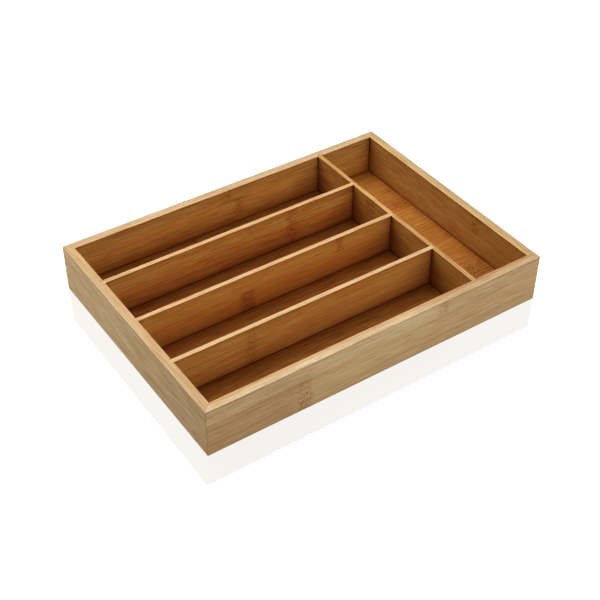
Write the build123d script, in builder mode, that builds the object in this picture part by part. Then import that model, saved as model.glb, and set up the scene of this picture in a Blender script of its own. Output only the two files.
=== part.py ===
"""Cutlery tray of bamboo boards: a mitred frame, a bottom panel held in grooves,
one cross divider and three long dividers housed in the frame.

Millimetres, +Z up. The origin is the centre of the tray's footprint on the table,
X runs along the long side with the crosswise compartment at +X, and the front is at -Y.
"""
from build123d import *
import os

os.makedirs("parts", exist_ok=True)

# Overall size of the tray
tray_length = 350.0
tray_width = 252.5
tray_height = 48.8

# The four wall boards, mitred where they meet
wall_thickness = 8.6
corner_radius = 0.7
wall_edge_radius = 0.5

# The bottom panel and the groove that holds it in each wall
panel_thickness = 4.0
panel_underside_height = 4.4
groove_depth = 4.0
groove_slack = 0.1
panel_edge_gap = 0.3

# The divider boards, their tops level with the rim
divider_thickness = 4.5
divider_edge_radius = 0.4

# Housings, the upright slots that take the dividers' ends
wall_housing_depth = 2.4
divider_housing_depth = 2.0
housing_side_gap = 0.1

# Layout of the compartments
crosswise_compartment_length = 60.2
long_divider_pitch = 60.5
long_divider_names = ("long_divider_front", "long_divider_middle", "long_divider_back")

# How far a cut runs on past the face that it opens
cut_overrun = 1.0

# Places worked out from the sizes above
panel_top_height = panel_underside_height + panel_thickness
divider_height = tray_height - panel_top_height
housing_width = divider_thickness + 2 * housing_side_gap
inner_width = tray_width - 2 * wall_thickness
left_wall_inside = -tray_length / 2 + wall_thickness
right_wall_inside = tray_length / 2 - wall_thickness
cross_divider_right = right_wall_inside - crosswise_compartment_length
cross_divider_left = cross_divider_right - divider_thickness
cross_divider_middle = (cross_divider_left + cross_divider_right) / 2
middle_divider = (len(long_divider_names) - 1) / 2
long_divider_places = [
    (index - middle_divider) * long_divider_pitch
    for index in range(len(long_divider_names))
]


def wall_plane(centre, along):
    """A wall's own plane: x along the board, y from its outer face inward, z up."""
    return Plane(origin=centre, x_dir=along, z_dir=(0, 0, 1))


def build_wall(name, plane, length, housing_places):
    """A mitred wall board, grooved for the panel and housed for the dividers' ends.

    The housing places are distances along the board from its middle.
    """
    half = length / 2
    with BuildPart() as wall:
        # Plan of the board: the outer corners are rounded, and the ends are cut at 45 degrees
        with BuildSketch(plane):
            with BuildLine():
                outer = Line((corner_radius - half, 0), (half - corner_radius, 0))
                right_tip = CenterArc(
                    (half - corner_radius, corner_radius), corner_radius, -90, 45
                )
                left_tip = CenterArc(
                    (corner_radius - half, corner_radius), corner_radius, -90, -45
                )
                inner = Line(
                    (wall_thickness - half, wall_thickness),
                    (half - wall_thickness, wall_thickness),
                )
                Line(right_tip @ 1, inner @ 1)
                Line(left_tip @ 1, inner @ 0)
            make_face()
        extrude(amount=tray_height)

        # The long edges at the rim and at the foot are eased, but not the mitred ends
        board_axis = Axis(plane.origin, plane.x_dir)
        rim_edges = wall.edges().group_by(Axis.Z)[-1]
        foot_edges = wall.edges().group_by(Axis.Z)[0]
        eased = ShapeList()
        for edges in (rim_edges, foot_edges):
            eased += edges.filter_by(board_axis) + edges.filter_by(GeomType.CIRCLE)
        fillet(eased, radius=wall_edge_radius)

        # Groove for the bottom panel, along the whole inner face
        with BuildSketch(plane.offset(panel_underside_height)):
            with Locations((0, wall_thickness)):
                Rectangle(length, 2 * groove_depth)
        extrude(amount=panel_thickness + groove_slack, mode=Mode.SUBTRACT)

        # Housings for the dividers, from the panel up through the rim
        if housing_places:
            with BuildSketch(plane.offset(panel_top_height)):
                with Locations(*[(place, wall_thickness) for place in housing_places]):
                    Rectangle(housing_width, 2 * wall_housing_depth)
            extrude(amount=divider_height + cut_overrun, mode=Mode.SUBTRACT)
    wall.part.label = name
    return wall.part


# Walls. The front and back walls take the cross divider, the left wall the long dividers.
front_plane = wall_plane((0, -tray_width / 2, 0), (1, 0, 0))
back_plane = wall_plane((0, tray_width / 2, 0), (-1, 0, 0))
left_plane = wall_plane((-tray_length / 2, 0, 0), (0, -1, 0))
right_plane = wall_plane((tray_length / 2, 0, 0), (0, 1, 0))

walls = [
    build_wall("front_wall", front_plane, tray_length, [cross_divider_middle]),
    build_wall("back_wall", back_plane, tray_length, [-cross_divider_middle]),
    build_wall("left_wall", left_plane, tray_width, [-y for y in long_divider_places]),
    build_wall("right_wall", right_plane, tray_width, []),
]
for wall_part in walls:
    export_step(wall_part, f"parts/{wall_part.label}.step")

# Bottom panel: a thin board whose four edges lie in the walls' grooves
panel_reach = groove_depth - panel_edge_gap
with BuildPart() as bottom_panel:
    with BuildSketch(Plane.XY.offset(panel_underside_height)):
        Rectangle(
            right_wall_inside - left_wall_inside + 2 * panel_reach,
            inner_width + 2 * panel_reach,
        )
    extrude(amount=panel_thickness)
bottom_panel.part.label = "bottom_panel"
export_step(bottom_panel.part, "parts/bottom_panel.step")

# Cross divider: stands on the panel between the front and back walls
with BuildPart() as cross_divider:
    with BuildSketch(Plane.XY.offset(panel_top_height)):
        with Locations((cross_divider_middle, 0)):
            Rectangle(divider_thickness, inner_width + 2 * wall_housing_depth)
    extrude(amount=divider_height)
    cross_rim = cross_divider.edges().group_by(Axis.Z)[-1].filter_by(Axis.Y)
    fillet(cross_rim, radius=divider_edge_radius)
    # Housings in its left face for the long dividers
    with BuildSketch(Plane.XY.offset(panel_top_height)):
        with Locations(*[(cross_divider_left, y) for y in long_divider_places]):
            Rectangle(2 * divider_housing_depth, housing_width)
    extrude(amount=divider_height + cut_overrun, mode=Mode.SUBTRACT)
cross_divider.part.label = "cross_divider"
export_step(cross_divider.part, "parts/cross_divider.step")


def build_long_divider(name, place):
    """A divider that runs from the left wall's housing to the cross divider's."""
    start = left_wall_inside - wall_housing_depth
    end = cross_divider_left + divider_housing_depth
    with BuildPart() as divider:
        with BuildSketch(Plane.XY.offset(panel_top_height)):
            with Locations(((start + end) / 2, place)):
                Rectangle(end - start, divider_thickness)
        extrude(amount=divider_height)
        rim = divider.edges().group_by(Axis.Z)[-1].filter_by(Axis.X)
        fillet(rim, radius=divider_edge_radius)
    divider.part.label = name
    return divider.part


for divider_name, divider_place in zip(long_divider_names, long_divider_places):
    divider_part = build_long_divider(divider_name, divider_place)
    export_step(divider_part, f"parts/{divider_name}.step")
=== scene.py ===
"""Looks of the bamboo cutlery tray: camera, soft light, pale floor and bamboo materials.

The scene is in metres. Places and sizes inside the materials are in millimetres, measured on
each board from its own edges: along its grain, across its grain, and through its thickness.
"""
import math
from dataclasses import dataclass

import bmesh
import bpy
from mathutils import Matrix, Vector


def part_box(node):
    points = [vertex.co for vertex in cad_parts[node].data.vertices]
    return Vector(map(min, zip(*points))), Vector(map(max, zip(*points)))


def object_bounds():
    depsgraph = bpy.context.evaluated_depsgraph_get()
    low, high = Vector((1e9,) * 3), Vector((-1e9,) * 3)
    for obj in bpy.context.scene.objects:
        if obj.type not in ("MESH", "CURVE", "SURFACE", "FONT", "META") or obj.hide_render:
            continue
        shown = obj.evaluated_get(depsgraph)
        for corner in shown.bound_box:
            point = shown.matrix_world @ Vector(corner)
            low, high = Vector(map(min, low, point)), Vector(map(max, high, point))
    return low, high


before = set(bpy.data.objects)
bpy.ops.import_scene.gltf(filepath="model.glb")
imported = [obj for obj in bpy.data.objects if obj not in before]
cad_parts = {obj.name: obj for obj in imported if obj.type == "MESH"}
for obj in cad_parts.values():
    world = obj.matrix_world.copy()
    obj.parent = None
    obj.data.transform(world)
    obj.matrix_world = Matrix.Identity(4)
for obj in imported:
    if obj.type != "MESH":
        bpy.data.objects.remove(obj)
cad_low, cad_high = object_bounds()

# Camera, at the photograph's viewpoint
CAMERA_AZIMUTH = -34.543
CAMERA_ELEVATION = 40.401
CAMERA_ROLL = 0.448
CAMERA_DISTANCE = 1.0921
CAMERA_AIM = (-0.00245, -0.00344, -0.00496)
CAMERA_LENS = 70.54
SENSOR_WIDTH = 36.0

# Light: large soft lamps that face the tray. Azimuth 0 is in front of the tray and 90 at its
# right end. The last lamp is the one that the glossy floor mirrors towards the camera.
ROOM_STRENGTH = 0.02
LAMP_DISTANCE = 1.6
LAMPS = (
    # name, azimuth, elevation, size, power
    ("front", 0.0, 31.0, 0.9, 12.0),
    ("front_right", 45.0, 28.0, 0.9, 6.5),
    ("back_left_high", 225.0, 63.0, 0.9, 12.0),
    ("back_left_low", 230.0, 30.0, 0.9, 11.5),
    ("back_right", 150.0, 68.0, 0.9, 4.0),
    ("mirrored", 145.5, 40.4, 1.6, 12.0),
)

# White dome far behind the lamps, seen by the camera and mirrored by the floor. It is dark for
# rays past their first bounce, whose depth is over 1.
BACKDROP_REACH = 5.0
BACKDROP_SEGMENTS = 48
BACKDROP_RINGS = 24
BACKDROP_GLOW = 1.05
MIRRORED_GLOW = 2.3
PAST_FIRST_BOUNCE = 1.5

# The photograph's contrast is harder than that of the light itself
VIEW_GAMMA = 0.7

# Floor: a dark, glossy sheet that glows white, just below the tray's foot
FLOOR_REACH = 4.0
FLOOR_DROP = 0.0002
FLOOR_COLOUR = (0.015, 0.015, 0.015)
FLOOR_ROUGHNESS = 0.015
FLOOR_GLOW = 1.0

# Near the tray the sheet glows a little less, a painted darker margin round the tray, and so
# shows the tray's reflection. It does so as far as this past the tray's ends and sides.
REFLECTION_GLOW = (0.905, 0.894, 0.875)
REFLECTION_REACH = (0.0157, 0.026)

# In a metre
MILLIMETRES = 1000.0

# Bamboo colours, as linear RGB
OUTER_FACE = (0.465, 0.33, 0.17)
LEFT_FACE = (0.502, 0.354, 0.175)
INNER_FACE = (0.541, 0.313, 0.10)
DIVIDER_FACE = (0.539, 0.308, 0.095)
CROSS_FACE = (0.475, 0.275, 0.085)
PANEL_FACE = (0.518, 0.26, 0.063)
FRONT_RIM = (0.617, 0.484, 0.313)
BACK_RIM = (0.515, 0.40, 0.253)
LEFT_RIM = (0.543, 0.393, 0.219)
RIGHT_RIM = (0.505, 0.375, 0.208)
LEFT_INNER_RIM = (0.552, 0.386, 0.204)
RIGHT_INNER_RIM = (0.59, 0.40, 0.19)
PALE_INNER_RIM = (0.598, 0.414, 0.23)
DIVIDER_RIM = (0.63, 0.43, 0.23)
FRONT_DIVIDER_RIM = (0.648, 0.46, 0.263)
CROSS_RIM = (0.585, 0.37, 0.148)
WHITE = (1.0, 1.0, 1.0)

# Tints of single strips
PALE = (1.03, 1.035, 1.045)
PLAIN = WHITE
DEEP = (0.985, 0.97, 0.95)
REDDISH = (1.0, 0.94, 0.89)

# What a full dose of darkness multiplies a colour by
DARK_TINT = (0.66, 0.47, 0.27)

# The same for the grain alone: on outer faces and all rims, and on inner faces
OUTER_GRAIN_TINT = (0.65, 0.50, 0.24)
INNER_GRAIN_TINT = (0.75, 0.48, 0.02)

# How much of that darkness each feature brings: the wood's own, and the painted shade and
# highlights along edges and in corners
DRIFT_DARKNESS = 0.5
STREAK_DARKNESS = 0.58
LINE_DARKNESS = 0.36
FIBRE_DARKNESS = 2.8
DASH_DARKNESS = 0.9
GLUE_DARKNESS = 0.45
SHADE_DARKNESS = 0.14
SEAM_DARKNESS = 0.15
# Painted shade under the rim and along the foot, and a painted highlight on the rim's edges
UNDER_RIM_SHADE = 0.45
FOOT_SHADE = 0.4
ARRIS_HIGHLIGHT = 0.12
JOINT_DARKNESS = 1.1
# Painted shade in the corners where boards meet
CORNER_SHADE = 0.3
KNUCKLE_DARKNESS = 0.3
MOTTLE_DARKNESS = 2.6
RIDGE_DARKNESS = 0.12

# How much a knuckle adds to the glue lines that cross it
KNUCKLE_GLUE = 1.5

# Noise levels between which a dark dash sets in
DASH_ONSET = (0.08, 0.2)

# How far a knuckle bends the fibres across the board, and how far its own edges are wavy
BEND_ACROSS = 5.0
BEND_ALONG = 9.0

# How far along the grain each strip's noises lie from those of the strip before, and how many
# strips further on those of the inner layer lie
STRIP_SHIFT = 413.0
PLY_SHIFT = 30.0

# Lines along a board's edges: the distances at which each has gone and at which it is full. They
# are measured from the top edge, the foot, the arrises and the mitre. The line at the foot is
# painted shade, and the one at the arrises a painted highlight.
RIM_ONSET = (0.4, 0.2)
FOOT_ONSET = (1.8, 0.6)
ARRIS_ONSET = (1.3, 0.3)
SEAM_ONSET = (0.44, 0.11)

# The painted shade line under the rim: from where to where below the top edge, and how it fades
UNDER_RIM = (0.7, 1.9)
UNDER_RIM_FADE = 0.5

# Widths of the glue lines, of the shading below them and of a knuckle's ridge, and how far a
# knuckle and the rows of a patch or knuckle fade out
GLUE_WIDTH = 0.3
SHADE_WIDTH = 4.5
RIDGE_WIDTH = 0.9
KNUCKLE_FADE = 2.2
ROW_FADE = 0.4

# Widths of the dark joint line where boards meet, and of the painted shade in the corners round
# it
JOINT_WIDTH = 1.0
CORNER_SHADE_WIDTH = 7.0

# Boards nearer than this touch, and FAR is further than any board reaches
TOUCHING = 1.0
FAR = 1000.0

# A joint on one side of a board fades out between these shares of the thickness
JOINT_SIDES = (0.4, 0.6)

# The outer of a wall's two layers takes this share of the thickness
PLY_SHARE = 0.6
PLY_FADE = 0.25

# Gloss and relief. The distance is in metres, and the heights are set against the fibres'.
ROUGHNESS = 0.46
ROUGHNESS_SPREAD = 0.16
BUMP_DISTANCE = 0.00012
BUMP_STRENGTH = 0.2
STREAK_HEIGHT = 0.5
DASH_HEIGHT = -0.5

# The middle of Blender's noise
NOISE_MIDDLE = 0.5

# Where a mix node has its two inputs and its output, for numbers and for colours
MIX_SOCKETS = {"FLOAT": (2, 3, 0), "RGBA": (6, 7, 2)}


@dataclass(frozen=True)
class Noise:
    """A feature of the wood: its length along the grain and its width across it.

    Its seed is added to the board's.
    """
    length: float
    width: float
    seed: float = 0.0
    detail: float = 2.0
    roughness: float = 0.5


WOBBLE = Noise(7.0, 4.0)
DRIFT = Noise(130.0, 18.0)
STREAKS = Noise(240.0, 4.5, seed=3.0, detail=3.0, roughness=0.6)
LINES = Noise(150.0, 1.5, seed=5.0, detail=1.0)
FIBRES = Noise(28.0, 0.5, seed=7.0, detail=1.0)
MOTTLE = Noise(1.7, 1.0, seed=11.0, detail=1.0)
DASHES = Noise(9.0, 0.35, seed=13.0)


@dataclass(frozen=True)
class Knuckle:
    """A bamboo joint seen on a board: a mottled field across a strip, with a crooked ridge.

    Its place is along the board, and it goes from top to bottom across it.
    """
    place: float
    top: float
    bottom: float
    width: float = 12.0
    strength: float = 1.0
    inner: bool = False


@dataclass(frozen=True)
class Patch:
    """A stretch of strip that is darker than the rest, or lighter with an amount below 0. Some
    patches are painted shade or painted light.

    It goes from start to end along the board, and from top to bottom across it.
    """
    start: float
    end: float
    top: float
    bottom: float
    amount: float
    fade: float = 9.0
    inner: bool = False
    row_fade: float = ROW_FADE


@dataclass(frozen=True)
class Board:
    """One board: where its distances are measured from, its colours, strips and marks.

    Along, across and depth are directions such as -Z, in which the distances grow from the
    board's own edges. A strip is its top edge's distance and its tint. The walls have two
    layers, and what is named inner is the inner layer's own.
    """
    node: str
    along: str
    across: str
    depth: str
    face: tuple
    rim: tuple
    strips: tuple
    inner_face: tuple = None
    inner_rim: tuple = None
    inner_strips: tuple = ()
    knuckles: tuple = ()
    patches: tuple = ()
    mitred: bool = False
    has_rim: bool = True
    contrast: float = 1.0
    inner_contrast: float = 0.9
    fine: float = 1.2
    rim_contrast: float = 1.1
    glue: float = 1.0
    seed: float = 0.0

    @property
    def two_ply(self):
        """Whether the board has an inner layer."""
        return self.inner_face is not None


@dataclass(frozen=True)
class Spot:
    """Where the shaded point lies on its board, as sockets, and the board's own size.

    The masks are 1 on the inner layer and on the rim.
    """
    along: object
    across: object
    depth: object
    inner: object
    rim: object
    length: float
    span: float
    thickness: float


class Shader:
    """The node tree of one material, with short calls for the nodes that it uses."""

    def __init__(self, name):
        self.material = bpy.data.materials.new(name)
        self.material.use_nodes = True
        self.tree = self.material.node_tree
        self.surface = self.tree.nodes["Principled BSDF"]

    def node(self, kind, **settings):
        """A new node with these settings."""
        node = self.tree.nodes.new(kind)
        for name, value in settings.items():
            setattr(node, name, value)
        return node

    def feed(self, socket, value):
        """Links a socket to another one, or sets its value."""
        if isinstance(value, bpy.types.NodeSocket):
            self.tree.links.new(value, socket)
        else:
            socket.default_value = value

    def math(self, operation, *values):
        node = self.node("ShaderNodeMath", operation=operation)
        for socket, value in zip(node.inputs, values):
            self.feed(socket, value)
        return node.outputs[0]

    def vector(self, operation, *values):
        node = self.node("ShaderNodeVectorMath", operation=operation)
        for socket, value in zip(node.inputs, values):
            self.feed(socket, value)
        return node.outputs["Value" if operation == "LENGTH" else "Vector"]

    def total(self, *values):
        result = values[0]
        for value in values[1:]:
            result = self.math("ADD", result, value)
        return result

    def step(self, value, start, end):
        """0 at start and 1 at end, with a smooth change between them."""
        node = self.node("ShaderNodeMapRange", interpolation_type="SMOOTHSTEP")
        for socket, part in zip(node.inputs, (value, start, end, 0.0, 1.0)):
            self.feed(socket, part)
        return node.outputs[0]

    def band(self, value, low, high, fade):
        """1 between low and high, fading to 0 within a distance outside them."""
        return self.math(
            "MULTIPLY",
            self.step(value, low - fade, low + fade),
            self.step(value, high + fade, high - fade),
        )

    def mix(self, kind, share, low, high, **settings):
        node = self.node("ShaderNodeMix", data_type=kind, **settings)
        first, second, result = MIX_SOCKETS[kind]
        self.feed(node.inputs[0], share)
        self.feed(node.inputs[first], low)
        self.feed(node.inputs[second], high)
        return node.outputs[result]

    def mix_numbers(self, share, low, high):
        """Mixes two numbers, also past either end."""
        return self.mix("FLOAT", share, low, high, clamp_factor=False)

    def mix_colours(self, share, low, high):
        """Mixes two colours, also past either end."""
        return self.mix("RGBA", share, opaque(low), opaque(high), clamp_factor=False)

    def multiply_colours(self, first, second):
        return self.mix("RGBA", 1.0, opaque(first), opaque(second), blend_type="MULTIPLY")

    def strip_colours(self, across, span, strips):
        """The tint of each strip, changing sharply at its top edge."""
        node = self.node("ShaderNodeValToRGB")
        self.feed(node.inputs[0], self.math("DIVIDE", across, span))
        ramp = node.color_ramp
        ramp.interpolation = "CONSTANT"
        while len(ramp.elements) < len(strips):
            ramp.elements.new(1.0)
        while len(ramp.elements) > len(strips):
            ramp.elements.remove(ramp.elements[-1])
        for element, (edge, tint) in zip(ramp.elements, strips):
            element.position = edge / span
            element.color = opaque(tint)
        return node.outputs[0]

    def strip_number(self, across, strips):
        """0 in the first strip, 1 in the second and so on."""
        number = 0.0
        for edge, _ in strips[1:]:
            number = self.total(number, self.math("GREATER_THAN", across, edge))
        return number

    def grain(self, place, noise, seed):
        """One of the wood's noises about 0, drawn out along the grain."""
        scaled = self.node("ShaderNodeVectorMath", operation="MULTIPLY_ADD")
        self.feed(scaled.inputs[0], place)
        self.feed(scaled.inputs[1], (1 / noise.length, 1 / noise.width, 1 / noise.width))
        self.feed(scaled.inputs[2], (seed + noise.seed,) * 3)
        texture = self.node("ShaderNodeTexNoise")
        self.feed(texture.inputs["Vector"], scaled.outputs[0])
        self.feed(texture.inputs["Scale"], 1.0)
        self.feed(texture.inputs["Detail"], noise.detail)
        self.feed(texture.inputs["Roughness"], noise.roughness)
        return self.math("SUBTRACT", texture.outputs[0], NOISE_MIDDLE)

    def point(self, along, across, depth):
        node = self.node("ShaderNodeCombineXYZ")
        for socket, value in zip(node.inputs, (along, across, depth)):
            self.feed(socket, value)
        return node.outputs[0]


def opaque(colour):
    """A colour tuple with its alpha; sockets pass through."""
    return (*colour, 1.0) if isinstance(colour, tuple) else colour


def axis_and_sign(direction):
    """A direction such as -Z as the axis's number and a sign."""
    return "XYZ".index(direction[1]), 1.0 if direction[0] == "+" else -1.0


def footprint(board, other):
    """Where another board's box lies in this board's own distances, as (low, high) pairs."""
    pairs = []
    (low, high), (other_low, other_high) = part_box(board.node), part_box(other.node)
    for direction in (board.along, board.across, board.depth):
        axis, sign = axis_and_sign(direction)
        if sign > 0:
            pair = (other_low[axis] - low[axis], other_high[axis] - low[axis])
        else:
            pair = (high[axis] - other_high[axis], high[axis] - other_low[axis])
        pairs.append([MILLIMETRES * value for value in pair])
    return pairs


def board_distances(shader, board):
    """Millimetres from the board's own edges, along, across and through the board."""
    low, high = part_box(board.node)
    axes = shader.node("ShaderNodeSeparateXYZ")
    shader.feed(axes.inputs[0], shader.node("ShaderNodeTexCoord").outputs["Object"])
    distances = []
    for direction in (board.along, board.across, board.depth):
        axis, sign = axis_and_sign(direction)
        edge = low[axis] if sign > 0 else high[axis]
        turn = sign * MILLIMETRES
        distances.append(shader.math("MULTIPLY_ADD", axes.outputs[axis], turn, -turn * edge))
    return distances


def find_spot(shader, board):
    """Where the shaded point lies on this board."""
    along, across, depth = board_distances(shader, board)
    length, span, thickness = [high for _, high in footprint(board, board)]
    inner = 0.0
    if board.two_ply:
        ply_edge = PLY_SHARE * thickness
        inner = shader.step(depth, ply_edge - PLY_FADE, ply_edge + PLY_FADE)
    rim = shader.step(across, *RIM_ONSET)
    return Spot(along, across, depth, inner, rim, length, span, thickness)


def side_mask(shader, mark, spot):
    """1 on the layer of the board that carries the mark."""
    return spot.inner if mark.inner else shader.math("SUBTRACT", 1.0, spot.inner)


def find_knuckles(shader, board, spot):
    """Masks of the board's knuckles and of their ridges, and the fibres bent round them."""
    wobble = shader.grain(shader.point(spot.along, spot.across, spot.depth), WOBBLE, board.seed)
    along = shader.total(spot.along, shader.math("MULTIPLY", wobble, BEND_ALONG))
    fields, ridges = 0.0, 0.0
    for knuckle in board.knuckles:
        half = knuckle.width / 2
        rows = shader.band(spot.across, knuckle.top, knuckle.bottom, ROW_FADE)
        side = shader.math("MULTIPLY", side_mask(shader, knuckle, spot), knuckle.strength)
        here = shader.math("MULTIPLY", rows, side)
        field = shader.band(along, knuckle.place - half, knuckle.place + half, KNUCKLE_FADE)
        ridge = shader.band(along, knuckle.place, knuckle.place, RIDGE_WIDTH)
        fields = shader.total(fields, shader.math("MULTIPLY", field, here))
        ridges = shader.total(ridges, shader.math("MULTIPLY", ridge, here))
    bend = shader.math("MULTIPLY", shader.math("MULTIPLY", wobble, fields), BEND_ACROSS)
    return fields, ridges, shader.total(spot.across, bend)


def glue_lines(shader, across, strips):
    """The darkness where strips meet: a thin line, with soft shading below it."""
    darkness = 0.0
    for edge, _ in strips[1:]:
        line = shader.band(across, edge, edge, GLUE_WIDTH)
        shade = shader.math(
            "MULTIPLY",
            shader.step(across, edge - GLUE_WIDTH, edge),
            shader.step(across, edge + SHADE_WIDTH, edge),
        )
        darkness = shader.total(
            darkness,
            shader.math("MULTIPLY", line, GLUE_DARKNESS),
            shader.math("MULTIPLY", shade, SHADE_DARKNESS),
        )
    return darkness


def layer_strips(shader, spot, strips):
    """The tint and number of the strip here, and the darkness of the layer's glue lines."""
    return (
        shader.strip_colours(spot.across, spot.span, strips),
        shader.strip_number(spot.across, strips),
        glue_lines(shader, spot.across, strips),
    )


def board_strips(shader, board, spot):
    """The same as layer_strips, for a board of one layer or two."""
    tint, number, glue = layer_strips(shader, spot, board.strips)
    if board.two_ply:
        inner_tint, inner_number, inner_glue = layer_strips(shader, spot, board.inner_strips)
        tint = shader.mix_colours(spot.inner, tint, inner_tint)
        number = shader.mix_numbers(spot.inner, number, shader.total(inner_number, PLY_SHIFT))
        glue = shader.mix_numbers(spot.inner, glue, inner_glue)
    return tint, number, glue


def patch_darkness(shader, board, spot):
    """The darkness that the board's patches bring, some of it painted shade or painted light."""
    darkness = 0.0
    for patch in board.patches:
        stretch = shader.band(spot.along, patch.start, patch.end, patch.fade)
        rows = shader.band(spot.across, patch.top, patch.bottom, patch.row_fade)
        side = shader.math("MULTIPLY", side_mask(shader, patch, spot), patch.amount)
        here = shader.math("MULTIPLY", shader.math("MULTIPLY", stretch, rows), side)
        darkness = shader.total(darkness, here)
    return darkness


def painted_edge_shading(shader, spot):
    """Painted shade: darker lines under the rim and along the foot; and painted highlights on
    the rim's edges.
    """
    under_rim_shade = shader.band(spot.across, *UNDER_RIM, UNDER_RIM_FADE)
    foot_shade = shader.step(spot.across, *[spot.span - distance for distance in FOOT_ONSET])
    other_arris = shader.math("SUBTRACT", spot.thickness, spot.depth)
    arris = shader.math("MINIMUM", spot.depth, other_arris)
    # Painted highlight along the rim's edges
    rim_edge_highlight = shader.math("MULTIPLY", shader.step(arris, *ARRIS_ONSET), spot.rim)
    return shader.total(
        shader.math("MULTIPLY", under_rim_shade, UNDER_RIM_SHADE),
        shader.math("MULTIPLY", foot_shade, FOOT_SHADE),
        shader.math("MULTIPLY", rim_edge_highlight, -ARRIS_HIGHLIGHT),
    )


def seam_darkness(shader, spot):
    """A thin line at both mitred ends, where the board meets its neighbours."""
    far_end = shader.math("SUBTRACT", spot.length, spot.along)
    nearest = shader.math("MINIMUM", spot.along, far_end)
    gap = shader.math("ABSOLUTE", shader.math("SUBTRACT", nearest, spot.depth))
    return shader.math("MULTIPLY", shader.step(gap, *SEAM_ONSET), SEAM_DARKNESS)


def meets(pairs, spot):
    """Whether a box, given in the board's own distances, touches the board."""
    sizes = (spot.length, spot.span, spot.thickness)
    return all(
        low <= size + TOUCHING and high >= -TOUCHING for (low, high), size in zip(pairs, sizes)
    )


def distance_to_box(shader, place, pairs):
    """Millimetres from a place on the board's face to a box, measured along the face."""
    centre = [sum(pair) / 2 for pair in pairs[:2]]
    half = [(high - low) / 2 for low, high in pairs[:2]]
    offset = shader.vector("ABSOLUTE", shader.vector("SUBTRACT", place, (*centre, 0.0)))
    past_edge = shader.vector("SUBTRACT", offset, (*half, 0.0))
    return shader.vector("LENGTH", shader.vector("MAXIMUM", past_edge, (0.0, 0.0, 0.0)))


def joint_gap(shader, board, spot):
    """Millimetres to the nearest board that meets this one, on the side that it meets."""
    gap = FAR
    place = shader.point(spot.along, spot.across, 0.0)
    for other in BOARDS:
        pairs = footprint(board, other)
        if other is board or not meets(pairs, spot):
            continue
        distance = distance_to_box(shader, place, pairs)
        on_outside = pairs[2][0] < 0
        on_inside = pairs[2][1] > spot.thickness
        if on_outside != on_inside:
            shares = JOINT_SIDES if on_outside else reversed(JOINT_SIDES)
            start, end = [share * spot.thickness for share in shares]
            other_side = shader.step(spot.depth, start, end)
            distance = shader.math("MULTIPLY_ADD", other_side, FAR, distance)
        gap = shader.math("MINIMUM", distance, gap)
    return gap


def joint_line_and_corner_shade(shader, board, spot):
    """The thin dark line where boards meet, and the painted shade in the corners round it."""
    gap = joint_gap(shader, board, spot)
    line = shader.math("MULTIPLY", shader.step(gap, JOINT_WIDTH, 0.0), JOINT_DARKNESS)
    # Painted shade in the corners round the joint
    corner = shader.math("MULTIPLY", shader.step(gap, CORNER_SHADE_WIDTH, 0.0), CORNER_SHADE)
    below_rim = shader.math("SUBTRACT", 1.0, spot.rim)
    return shader.math("MULTIPLY", shader.total(line, corner), below_rim)


def knuckle_darkness(shader, board, place, fields, ridges):
    """The mottled darkness of the knuckles, and their ridges'."""
    mottle = shader.grain(place, MOTTLE, board.seed)
    mottling = shader.math("MULTIPLY_ADD", mottle, MOTTLE_DARKNESS, KNUCKLE_DARKNESS)
    return shader.total(
        shader.math("MULTIPLY", fields, mottling),
        shader.math("MULTIPLY", ridges, RIDGE_DARKNESS),
    )


def grain_contrast(shader, board, spot):
    """How strongly the grain shows here."""
    contrast = board.contrast
    if board.two_ply:
        contrast = shader.mix_numbers(spot.inner, contrast, board.inner_contrast)
    return shader.mix_numbers(spot.rim, contrast, board.rim_contrast)


def wood_colour(shader, board, spot, tint, darkness, grain):
    """The board's colour here, from its strip's tint, its darkness and its grain."""
    face, rim, grain_tint = board.face, board.rim, INNER_GRAIN_TINT
    if board.two_ply:
        face = shader.mix_colours(spot.inner, board.face, board.inner_face)
        rim = shader.mix_colours(spot.inner, board.rim, board.inner_rim)
        grain_tint = shader.mix_colours(spot.inner, OUTER_GRAIN_TINT, INNER_GRAIN_TINT)
    grain_tint = shader.mix_colours(spot.rim, grain_tint, OUTER_GRAIN_TINT)
    base = shader.mix_colours(spot.rim, shader.multiply_colours(face, tint), rim)
    shaded = shader.multiply_colours(base, shader.mix_colours(darkness, WHITE, DARK_TINT))
    return shader.multiply_colours(shaded, shader.mix_colours(grain, WHITE, grain_tint))


def give_relief(shader, fibre, streak, dash):
    """Lets the fibres, streaks and dashes roughen the surface."""
    gloss = shader.total(ROUGHNESS, shader.math("MULTIPLY", fibre, ROUGHNESS_SPREAD))
    height = shader.total(
        fibre,
        shader.math("MULTIPLY", streak, STREAK_HEIGHT),
        shader.math("MULTIPLY", dash, DASH_HEIGHT),
    )
    bump = shader.node("ShaderNodeBump")
    shader.feed(bump.inputs["Strength"], BUMP_STRENGTH)
    shader.feed(bump.inputs["Distance"], BUMP_DISTANCE)
    shader.feed(bump.inputs["Height"], height)
    shader.feed(shader.surface.inputs["Roughness"], gloss)
    shader.feed(shader.surface.inputs["Normal"], bump.outputs[0])


def grain_figure(shader, board, place):
    """How dark the grain is, about 0, and the fibres, streaks and dashes that give it relief."""
    drift = shader.grain(place, DRIFT, board.seed)
    streak = shader.grain(place, STREAKS, board.seed)
    line = shader.grain(place, LINES, board.seed)
    fibre = shader.grain(place, FIBRES, board.seed)
    dash = shader.step(shader.grain(place, DASHES, board.seed), *DASH_ONSET)
    figure = shader.total(
        shader.math("MULTIPLY", drift, DRIFT_DARKNESS),
        shader.math("MULTIPLY", streak, STREAK_DARKNESS),
        shader.math("MULTIPLY", line, LINE_DARKNESS),
        shader.math("MULTIPLY", fibre, FIBRE_DARKNESS * board.fine),
        shader.math("MULTIPLY", dash, DASH_DARKNESS),
    )
    return figure, (fibre, streak, dash)


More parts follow.
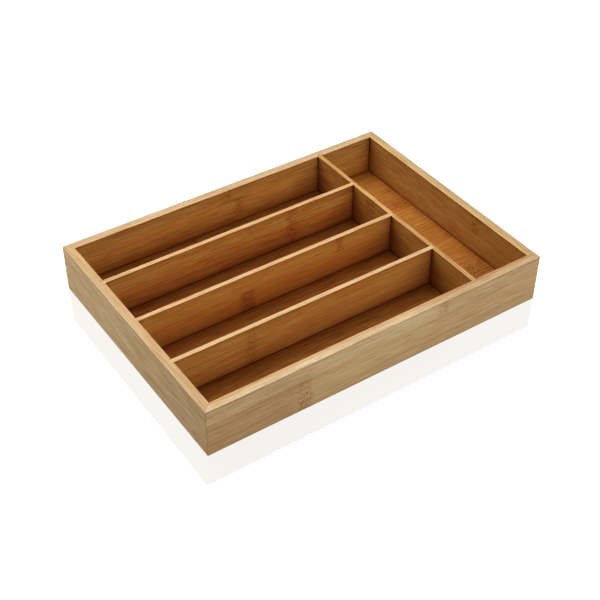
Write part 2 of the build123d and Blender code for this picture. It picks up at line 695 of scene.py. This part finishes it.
def bamboo(board):
    """The bamboo of one board: strips, fibres, streaks, knuckles, glue lines and seams, with
    painted shade and highlights along its edges, in its corners and in some patches.
    """
    shader = Shader(board.node + "_bamboo")
    spot = find_spot(shader, board)
    fields, ridges, bent_across = find_knuckles(shader, board, spot)
    tint, number, glue = board_strips(shader, board, spot)

    # Each strip has its own stretch of the grain
    shifted = shader.math("MULTIPLY_ADD", number, STRIP_SHIFT, spot.along)
    place = shader.point(shifted, bent_across, spot.depth)
    figure, relief = grain_figure(shader, board, place)
    grain = shader.math("MULTIPLY", figure, grain_contrast(shader, board, spot))

    # The glue lines are darker where they cross a knuckle
    glue = shader.math("MULTIPLY_ADD", glue, shader.math("MULTIPLY", fields, KNUCKLE_GLUE), glue)
    # The glue lines, knuckles, joint lines, painted corner shade and patches, some of which are
    # painted shade or light
    darkness = shader.total(
        shader.math("MULTIPLY", glue, board.glue),
        knuckle_darkness(shader, board, place, fields, ridges),
        joint_line_and_corner_shade(shader, board, spot),
        patch_darkness(shader, board, spot),
    )
    # Painted shade under the rim and along the foot, and painted highlights on the rim's edges
    if board.has_rim:
        darkness = shader.total(darkness, painted_edge_shading(shader, spot))
    if board.mitred:
        darkness = shader.total(darkness, seam_darkness(shader, spot))

    colour = wood_colour(shader, board, spot, tint, darkness, grain)
    shader.feed(shader.surface.inputs["Base Color"], colour)
    give_relief(shader, *relief)
    return shader.material


# The bottom panel's strips, from the back of the tray to its front
PANEL_STRIP = 20.0
PANEL_TINTS = (
    PLAIN, PALE, DEEP, REDDISH, PALE, DEEP, REDDISH, PALE, DEEP, DEEP, PALE, DEEP, PALE,
)

BOARDS = (
    Board(
        "front_wall", "+X", "-Z", "+Y", OUTER_FACE, FRONT_RIM,
        strips=(
            (0.0, (1.005, 1.035, 1.11)),
            (16.0, (0.985, 0.97, 0.99)),
            (37.5, (0.975, 0.97, 0.975)),
        ),
        inner_face=INNER_FACE, inner_rim=PALE_INNER_RIM,
        inner_strips=((0.0, PLAIN), (20.0, DEEP), (41.0, PLAIN)),
        knuckles=(
            Knuckle(93.5, 16.0, 49.0, width=13.0),
            Knuckle(238.5, 0.6, 15.8, width=10.0, strength=0.9),
        ),
        patches=(
            Patch(-20.0, 88.0, 16.0, 49.0, 0.22),
            Patch(-20.0, 80.0, 0.6, 16.0, 0.12),
            Patch(110.0, 230.0, 0.6, 15.8, -0.25, fade=20.0),
            Patch(250.0, 400.0, 0.6, 15.8, 0.1, fade=20.0),
            Patch(110.0, 210.0, 16.0, 37.0, -0.07, fade=20.0),
            Patch(220.0, 400.0, -9.0, 0.2, 0.34, fade=40.0),
            Patch(220.0, 400.0, -9.0, 0.2, 0.54, fade=40.0, inner=True),
        ),
        mitred=True, contrast=0.58, fine=1.3, rim_contrast=0.55, seed=1.3,
    ),
    Board(
        "back_wall", "+X", "-Z", "-Y", OUTER_FACE, BACK_RIM,
        strips=((0.0, PLAIN), (20.0, PALE), (40.0, PLAIN)),
        inner_face=INNER_FACE, inner_rim=PALE_INNER_RIM,
        inner_strips=(
            (0.0, (1.0, 1.055, 1.16)),
            (13.0, (1.12, 1.15, 1.21)),
            (33.0, (1.14, 1.06, 0.97)),
        ),
        knuckles=(
            Knuckle(169.0, -1.0, 12.6, width=10.0, strength=0.8, inner=True),
            Knuckle(181.5, 13.0, 33.0, width=10.0, strength=0.9, inner=True),
            Knuckle(80.0, 20.0, 40.0, strength=0.8),
        ),
        patches=(
            Patch(-20.0, 160.0, -9.0, 0.2, -0.12, fade=40.0),
            Patch(200.0, 264.0, 0.6, 25.0, -0.12, fade=12.0, inner=True),
            Patch(30.0, 264.0, 0.6, 8.0, 0.12, fade=12.0, inner=True),
            # Painted shade in the corner where the back wall meets the right wall
            Patch(333.0, 350.0, 0.6, 41.0, 0.3, fade=8.0, inner=True),
        ),
        mitred=True, contrast=0.65, rim_contrast=0.75, seed=5.1,
    ),
    Board(
        "left_wall", "-Y", "-Z", "+X", LEFT_FACE, LEFT_RIM,
        strips=((0.0, PLAIN), (18.0, PLAIN), (38.0, PLAIN)),
        inner_face=INNER_FACE, inner_rim=LEFT_INNER_RIM,
        inner_strips=((0.0, PLAIN), (20.0, DEEP), (41.0, PLAIN)),
        knuckles=(Knuckle(232.0, 38.0, 49.0, width=9.0, strength=0.6),),
        patches=(Patch(130.0, 300.0, 0.6, 49.0, 0.22, fade=50.0),),
        mitred=True, contrast=0.72, fine=1.6, rim_contrast=0.42, seed=9.7,
    ),
    Board(
        "right_wall", "-Y", "-Z", "-X", OUTER_FACE, RIGHT_RIM,
        strips=((0.0, PLAIN), (14.0, PALE), (35.0, PLAIN)),
        inner_face=INNER_FACE, inner_rim=RIGHT_INNER_RIM,
        inner_strips=((0.0, (0.93, 0.94, 0.965)), (18.0, (0.985, 1.0, 1.05)), (38.0, DEEP)),
        knuckles=(
            Knuckle(174.5, 0.6, 18.0, width=10.0, strength=1.1, inner=True),
            Knuckle(120.0, 14.0, 35.0, strength=0.8),
        ),
        mitred=True, contrast=0.65, inner_contrast=1.05, rim_contrast=0.75, seed=13.9,
    ),
    Board(
        "cross_divider", "-Y", "-Z", "+X", CROSS_FACE, CROSS_RIM,
        strips=((0.0, PLAIN), (20.0, DEEP)),
        knuckles=(Knuckle(90.0, 0.6, 20.0, width=14.0, strength=1.25),),
        patches=(Patch(125.0, 300.0, -9.0, 0.2, 0.4, fade=15.0),),
        contrast=1.1, seed=17.2,
    ),
    Board(
        "long_divider_back", "+X", "-Z", "+Y", DIVIDER_FACE, DIVIDER_RIM,
        strips=((0.0, (1.015, 1.055, 1.12)), (17.0, (1.02, 0.915, 0.885))),
        knuckles=(Knuckle(198.5, 0.6, 41.0, strength=0.9),),
        patches=(
            Patch(214.0, 300.0, 0.6, 7.0, 0.25, fade=12.0),
            Patch(214.0, 300.0, 9.0, 41.0, -0.25, fade=12.0),
            Patch(-20.0, 300.0, 27.0, 41.0, 0.13),
            # Painted shade in the corner where the divider meets the cross divider
            Patch(258.0, 300.0, 0.6, 27.0, 0.06, fade=5.0),
        ),
        contrast=0.95, rim_contrast=0.75, seed=21.4,
    ),
    Board(
        "long_divider_middle", "+X", "-Z", "+Y", DIVIDER_FACE, DIVIDER_RIM,
        strips=((0.0, (1.035, 1.05, 1.07)), (18.0, (1.06, 0.945, 0.83))),
        knuckles=(
            Knuckle(110.0, 18.5, 41.0, width=16.0),
            Knuckle(210.5, 0.6, 17.0, width=8.0, strength=1.2),
        ),
        patches=(
            Patch(104.0, 117.0, 18.5, 41.0, 0.3, fade=2.5),
            # Painted shade in the corner where the divider meets the cross divider
            Patch(258.0, 300.0, 0.6, 41.0, 0.15, fade=5.0),
        ),
        contrast=0.72, fine=1.3, rim_contrast=0.75, seed=25.8,
    ),
    Board(
        "long_divider_front", "+X", "-Z", "+Y", DIVIDER_FACE, FRONT_DIVIDER_RIM,
        strips=((0.0, (1.0, 1.03, 1.12)), (22.0, (1.09, 1.09, 1.14))),
        knuckles=(Knuckle(76.5, 0.6, 41.0, width=10.0, strength=0.8),),
        patches=(
            Patch(110.0, 160.0, 18.5, 19.5, 0.5),
            Patch(85.0, 300.0, 0.6, 7.0, 0.14),
            Patch(205.0, 250.0, 0.6, 30.0, -0.12, fade=12.0),
            # Painted shade in the corner where the divider meets the cross divider
            Patch(258.0, 300.0, 0.6, 41.0, 0.2, fade=5.0),
        ),
        contrast=0.72, rim_contrast=0.5, seed=29.6,
    ),
    Board(
        "bottom_panel", "+X", "-Y", "-Z", PANEL_FACE, PANEL_FACE,
        strips=tuple((PANEL_STRIP * number, tint) for number, tint in enumerate(PANEL_TINTS)),
        knuckles=(
            Knuckle(320.0, 184.0, 202.0, width=26.0, strength=1.3),
            Knuckle(327.0, 66.0, 79.0, width=16.0, strength=1.2),
        ),
        # The panel's patches are painted shade and light on the lanes' floors: darker next to
        # the foot of each lane's back side, more so in the front lanes and towards their left
        # ends, and lighter towards their right ends
        patches=(
            Patch(115.0, 262.0, 0.0, 20.0, -0.12, fade=35.0, row_fade=2.0),
            Patch(190.0, 262.0, 0.0, 20.0, -0.1, fade=30.0, row_fade=2.0),
            Patch(-40.0, 75.0, 60.0, 78.0, 0.22, fade=35.0, row_fade=2.0),
            Patch(195.0, 262.0, 67.5, 80.0, -0.16, fade=30.0, row_fade=1.5),
            Patch(-40.0, 75.0, 120.0, 134.0, 0.3, fade=35.0, row_fade=2.0),
            Patch(195.0, 262.0, 120.0, 142.0, -0.16, fade=30.0, row_fade=2.0),
            Patch(-40.0, 262.0, 180.0, 188.5, 0.25, fade=3.0, row_fade=2.0),
            Patch(-40.0, 85.0, 180.0, 194.0, 0.24, fade=35.0, row_fade=2.5),
        ),
        has_rim=False, contrast=1.15, fine=1.5, glue=0.3, seed=33.1,
    ),
)


def towards(azimuth, elevation):
    """The direction from the tray to something at this azimuth and elevation, in degrees."""
    around, up = math.radians(azimuth), math.radians(elevation)
    return Vector((
        math.sin(around) * math.cos(up),
        -math.cos(around) * math.cos(up),
        math.sin(up),
    ))


def make_camera():
    """The photograph's camera."""
    back = towards(CAMERA_AZIMUTH, CAMERA_ELEVATION)
    data = bpy.data.cameras.new("camera")
    data.lens = CAMERA_LENS
    data.sensor_width = SENSOR_WIDTH
    camera = bpy.data.objects.new("camera", data)
    bpy.context.scene.collection.objects.link(camera)
    turn = (-back).to_track_quat("-Z", "Y").to_matrix().to_4x4()
    roll = Matrix.Rotation(math.radians(CAMERA_ROLL), 4, "Z")
    place = Matrix.Translation(Vector(CAMERA_AIM) + back * CAMERA_DISTANCE)
    camera.matrix_world = place @ turn @ roll
    bpy.context.scene.camera = camera


def make_light():
    """The lamps, and a faint light from all round."""
    world = bpy.data.worlds.new("white_room")
    world.use_nodes = True
    background = world.node_tree.nodes["Background"]
    background.inputs["Color"].default_value = opaque(WHITE)
    background.inputs["Strength"].default_value = ROOM_STRENGTH
    bpy.context.scene.world = world
    for name, azimuth, elevation, size, power in LAMPS:
        make_lamp(name, towards(azimuth, elevation), size, power)


def make_lamp(name, direction, size, power):
    """A square softbox that faces the tray from this direction."""
    data = bpy.data.lights.new(name, "AREA")
    data.shape = "SQUARE"
    data.size = size
    data.energy = power
    lamp = bpy.data.objects.new(name, data)
    lamp.location = direction * LAMP_DISTANCE
    lamp.rotation_euler = direction.to_track_quat("Z", "Y").to_euler()
    bpy.context.scene.collection.objects.link(lamp)


def near_tray(shader):
    """1 on the floor next to the tray and under it, and 0 further away."""
    axes = shader.node("ShaderNodeSeparateXYZ")
    shader.feed(axes.inputs[0], shader.node("ShaderNodeTexCoord").outputs["Object"])
    near = 1.0
    for axis, reach in enumerate(REFLECTION_REACH):
        distance = shader.math("ABSOLUTE", axes.outputs[axis])
        inside = shader.math("LESS_THAN", distance, cad_high[axis] + reach)
        near = shader.math("MULTIPLY", inside, near)
    return near


def make_floor():
    """A glossy sheet that glows, a little less near the tray."""
    shader = Shader("floor")
    glow = shader.mix_colours(near_tray(shader), WHITE, REFLECTION_GLOW)
    shader.feed(shader.surface.inputs["Base Color"], opaque(FLOOR_COLOUR))
    shader.feed(shader.surface.inputs["Roughness"], FLOOR_ROUGHNESS)
    shader.feed(shader.surface.inputs["Emission Color"], glow)
    shader.feed(shader.surface.inputs["Emission Strength"], FLOOR_GLOW)
    mesh = bpy.data.meshes.new("floor")
    near, far = -FLOOR_REACH, FLOOR_REACH
    corners = [(near, near, 0), (far, near, 0), (far, far, 0), (near, far, 0)]
    mesh.from_pydata(corners, [], [(0, 1, 2, 3)])
    mesh.materials.append(shader.material)
    floor = bpy.data.objects.new("floor", mesh)
    floor.location.z = -FLOOR_DROP
    bpy.context.scene.collection.objects.link(floor)
    return floor


def backdrop_material():
    """A white glow for what sees it directly or in the floor, and for nothing else."""
    shader = Shader("backdrop")
    path = shader.node("ShaderNodeLightPath").outputs
    change = BACKDROP_GLOW - MIRRORED_GLOW
    direct = shader.math("MULTIPLY_ADD", path["Is Camera Ray"], change, MIRRORED_GLOW)
    first = shader.math("LESS_THAN", path["Ray Depth"], PAST_FIRST_BOUNCE)
    glow = shader.node("ShaderNodeEmission")
    shader.feed(glow.inputs["Strength"], shader.math("MULTIPLY", first, direct))
    shader.feed(shader.tree.nodes["Material Output"].inputs["Surface"], glow.outputs[0])
    shader.tree.nodes.remove(shader.surface)
    shader.material.cycles.emission_sampling = "NONE"
    return shader.material


def make_backdrop(floor):
    """A white dome round everything, whose light falls on nothing but the floor."""
    mesh = bpy.data.meshes.new("backdrop")
    shape = bmesh.new()
    bmesh.ops.create_uvsphere(
        shape, u_segments=BACKDROP_SEGMENTS, v_segments=BACKDROP_RINGS, radius=BACKDROP_REACH
    )
    shape.to_mesh(mesh)
    shape.free()
    mesh.materials.append(backdrop_material())
    backdrop = bpy.data.objects.new("backdrop", mesh)
    backdrop.visible_diffuse = False
    backdrop.visible_shadow = False
    lit = bpy.data.collections.new("lit_by_backdrop")
    lit.objects.link(floor)
    backdrop.light_linking.receiver_collection = lit
    bpy.context.scene.collection.objects.link(backdrop)


make_camera()
make_light()
make_backdrop(make_floor())
bpy.context.scene.view_settings.view_transform = "Standard"
bpy.context.scene.view_settings.gamma = VIEW_GAMMA

for board in BOARDS:
    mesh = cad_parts[board.node].data
    mesh.materials.clear()
    mesh.materials.append(bamboo(board))
